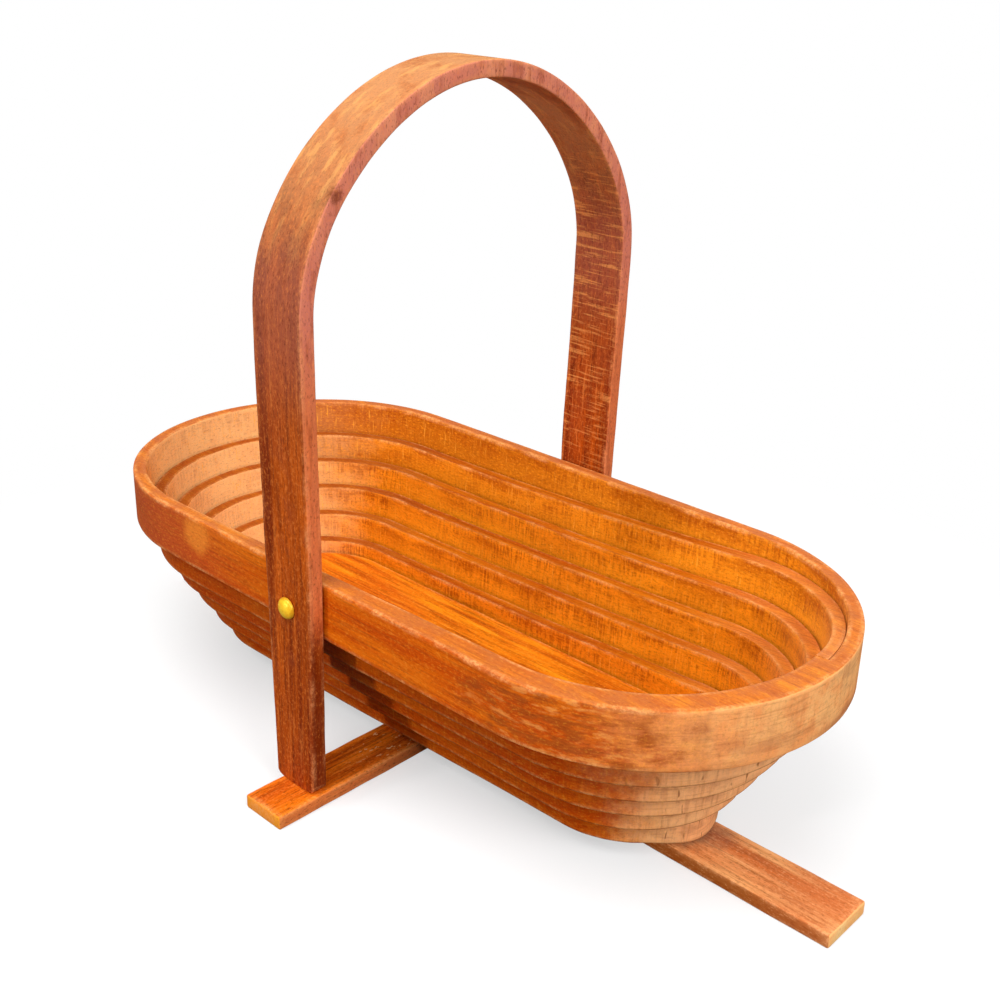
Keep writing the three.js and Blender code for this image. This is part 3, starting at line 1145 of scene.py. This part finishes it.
def brass():
    """Brass, tarnished in clouds and dull round the edge of the head, with fine scratches."""
    graph = Graph(bpy.data.materials.new("brass"))
    place = graph.attribute("grain", "Vector")
    tarnish = graph.noise(place, (0.45, 0.45, 0.45), 4.0, 0.6)
    scratch = graph.noise(place, (6.0, 1.0, 1.2), 3.0, 0.6)
    wear = graph.attribute("wear", "Fac")
    clouds = graph.span(tarnish, 0.4, 0.66)
    base = graph.mix(clouds, BRASS_TONES["bright"], BRASS_TONES["deep"])
    base = graph.mix(graph.math("MULTIPLY", wear, 0.4), base, BRASS_TONES["dull"])
    rough = graph.span(scratch, 0.3, 0.7, 0.3, 0.48)
    shader = graph.shade(base, rough, scratch, relief=0.05, specular=0.3)
    shader.inputs["Metallic"].default_value = 0.2
    return graph.owner


# Stage: how the floor looks to the camera and to other light, where its shadow fades out into
# white, the sky's light, and the lamps.

FLOOR_SEEN = (0.95, 0.95, 0.95, 1.0)
FLOOR_BOUNCE = (0.14, 0.13, 0.12, 1.0)
SHADOW_LIFT = 0.52
SHADOW_NEAR = 0.16
SHADOW_FAR = 0.36
FLOOR_REACH = 40.0
WHITE = (1.0, 1.0, 1.0, 1.0)
HORIZON_LIGHT = 0.05
ZENITH_LIGHT = 0.72
MIDDLE = (0.0, 0.0, 0.08)
LOW_MIDDLE = (0.0, 0.0, 0.06)

# Name, place, what it points at, width and power
LAMPS = (
    ("key_light", (-0.48, -1.79, 0.39), LOW_MIDDLE, 0.20, 10.5),
    ("front_softbox", (0.05, -0.75, 1.5), MIDDLE, 1.3, 19.0),
    ("side_fill", (1.45, -0.30, 0.95), MIDDLE, 0.9, 20.0),
    ("back_fill", (-0.5, 1.7, 0.45), MIDDLE, 1.0, 5.0),
)


def floor_material():
    """White where the camera sees it far off, shaded near the basket, and dim to other light."""
    graph = Graph(bpy.data.materials.new("studio_floor"))
    seen = graph.add("LightPath").outputs["Is Camera Ray"]
    near = graph.add("BsdfDiffuse")
    graph.put(near.inputs["Color"], graph.mix(seen, FLOOR_BOUNCE, FLOOR_SEEN))
    far = graph.add("Emission")
    far.inputs["Color"].default_value = WHITE
    place = graph.add("TexCoord").outputs["Object"]
    apart = graph.add("VectorMath", operation="LENGTH")
    graph.put(apart.inputs[0], place)
    white = graph.span(apart.outputs["Value"], SHADOW_NEAR, SHADOW_FAR, SHADOW_LIFT, 1.0)
    fade = graph.math("MULTIPLY", white, seen)
    both = graph.add("MixShader")
    graph.fill(both, {0: fade, 1: near.outputs[0], 2: far.outputs[0]})
    graph.show("OutputMaterial", both.outputs[0])
    return graph.owner


def make_floor():
    mesh = bpy.data.meshes.new("studio_floor")
    signs = ((-1, -1), (1, -1), (1, 1), (-1, 1))
    corners = [(x * FLOOR_REACH, y * FLOOR_REACH, 0.0) for x, y in signs]
    mesh.from_pydata(corners, [], [(0, 1, 2, 3)])
    floor = bpy.data.objects.new("studio_floor", mesh)
    bpy.context.scene.collection.objects.link(floor)
    mesh.materials.append(floor_material())


def make_world():
    """A soft sky, brighter overhead, that the camera sees as plain white."""
    graph = Graph(bpy.data.worlds.new("studio"))
    up = graph.parts(graph.add("TexCoord").outputs["Generated"])[2]
    sky = graph.span(up, 0.0, 1.0, HORIZON_LIGHT, ZENITH_LIGHT)
    seen = graph.add("LightPath").outputs["Is Camera Ray"]
    background = graph.add("Background")
    graph.fill(background, {"Color": WHITE, "Strength": graph.span(seen, 0.0, 1.0, sky, 1.0)})
    graph.show("OutputWorld", background.outputs[0])
    bpy.context.scene.world = graph.owner


def make_lamp(name, place, target, size, power):
    light = bpy.data.lights.new(name, "AREA")
    light.shape = "DISK"
    light.size = size
    light.energy = power
    lamp = bpy.data.objects.new(name, light)
    lamp.location = place
    lamp.rotation_euler = (Vector(target) - Vector(place)).to_track_quat("-Z", "Y").to_euler()
    bpy.context.scene.collection.objects.link(lamp)


def make_camera():
    """The photograph's view: where it stood, its three axes, its lens and its crop."""
    place = Vector((0.337269, -0.338970, 0.306233))
    right = Vector((0.732032, 0.680595, 0.030316))
    down = Vector((0.273430, -0.252755, -0.928090))
    forward = Vector((-0.623991, 0.687681, -0.371120))
    camera = bpy.data.cameras.new("photo_camera")
    camera.sensor_width = 36.0
    camera.lens = 46.21
    camera.shift_x = -0.01526
    camera.shift_y = -0.03052
    camera.clip_start = 0.01
    camera.clip_end = 200.0
    turned = Matrix((right, -down, -forward)).transposed().to_4x4()
    made = bpy.data.objects.new("photo_camera", camera)
    made.matrix_world = Matrix.Translation(place) @ turned
    bpy.context.scene.collection.objects.link(made)
    bpy.context.scene.camera = made


# Assembly

# Which way a blend runs: round the +X end and back along the far side, or across the +X end
RAMP_LEAD = Vector((-1.0, 3.0, 0.0)).normalized()
SETTLE_LEAD = Vector((0.35, 1.0, 0.0)).normalized()


def blend_line(turn, first, last, lead):
    """Start and end of a blend between two shares of a turn, measured along its lead."""
    start = Vector((*board_point(first, cut_inset(turn, first)), 0.0))
    finish = Vector((*board_point(last, cut_inset(turn, last)), 0.0))
    return start, start + lead * (finish - start).dot(lead)


def blend_ramp(piece, turn):
    """Finds the line of a ramp's blend along the +X end and the far side, which nothing uses, and
    bakes the piece's place into its mesh.
    """
    start, end = blend_line(turn, 0.0, RAMP_TO, RAMP_LEAD)
    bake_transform(piece)


def blend_settle(piece):
    """Finds the line of the last turn's blend to the plate, on the near side of the +X end, which
    nothing uses, and bakes the piece's place into its mesh.
    """
    start, end = blend_line(TURNS, SETTLE_FROM, 1.0, SETTLE_LEAD)
    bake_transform(piece)


def build_board(material):
    """The rim, each turn as a ramp and a rigid run, the last turn's settling end, and the plate."""
    rim = rim_piece()
    dress(rim, material, "board_wood", "rim")
    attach(rim, "rim")
    for turn in range(1, TURNS + 1):
        node = f"spiral_turn_{turn}"
        body = f"turn_{turn}"
        ramp = strip_piece(f"turn_{turn}_ramp", turn, 0.0, RAMP_PIECE_TO)
        dress(ramp, material, "board_wood", node)
        blend_ramp(ramp, turn)
        run_end = SETTLE_FROM if turn == TURNS else 1.0
        run = strip_piece(f"turn_{turn}_run", turn, RAMP_PIECE_TO, run_end)
        dress(run, material, "board_wood", node)
        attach(run, body)
    settle = strip_piece("turn_5_settle", TURNS, SETTLE_FROM, 1.0)
    dress(settle, material, "board_wood", "spiral_turn_5")
    blend_settle(settle)
    plate = plate_piece()
    dress(plate, material, "board_wood", "bottom_plate")
    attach(plate, "plate")


def build_handle(material, pin_material):
    handle = handle_piece()
    dress(handle, material, "handle_wood", "handle")
    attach(handle, "handle")
    for name, side in (("near_pivot_pin", -1), ("far_pivot_pin", 1)):
        pin = pin_piece(f"{name}_brass", side)
        dress(pin, pin_material, "pin_brass", name)
        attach(pin, "rim")


def build_cross(cross_material, long_material):
    cross_width = CROSS_HIGH.x - CROSS_LOW.x
    long_width = LONG_HIGH.y - LONG_LOW.y
    crossbar = crossbar_piece(cross_width, long_width)
    dress(crossbar, cross_material, "stand_wood", "crossbar")
    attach(crossbar, "stand")
    long_bar = long_bar_piece(cross_width, long_width)
    dress(long_bar, long_material, "stand_wood", "long_bar")
    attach(long_bar, "stand")


bpy.context.scene.view_settings.view_transform = "Standard"
make_camera()
make_floor()
make_world()
for lamp in LAMPS:
    make_lamp(*lamp)

build_board(board_wood())
build_handle(handle_wood(), brass())
build_cross(crossbar_wood(), long_bar_wood())
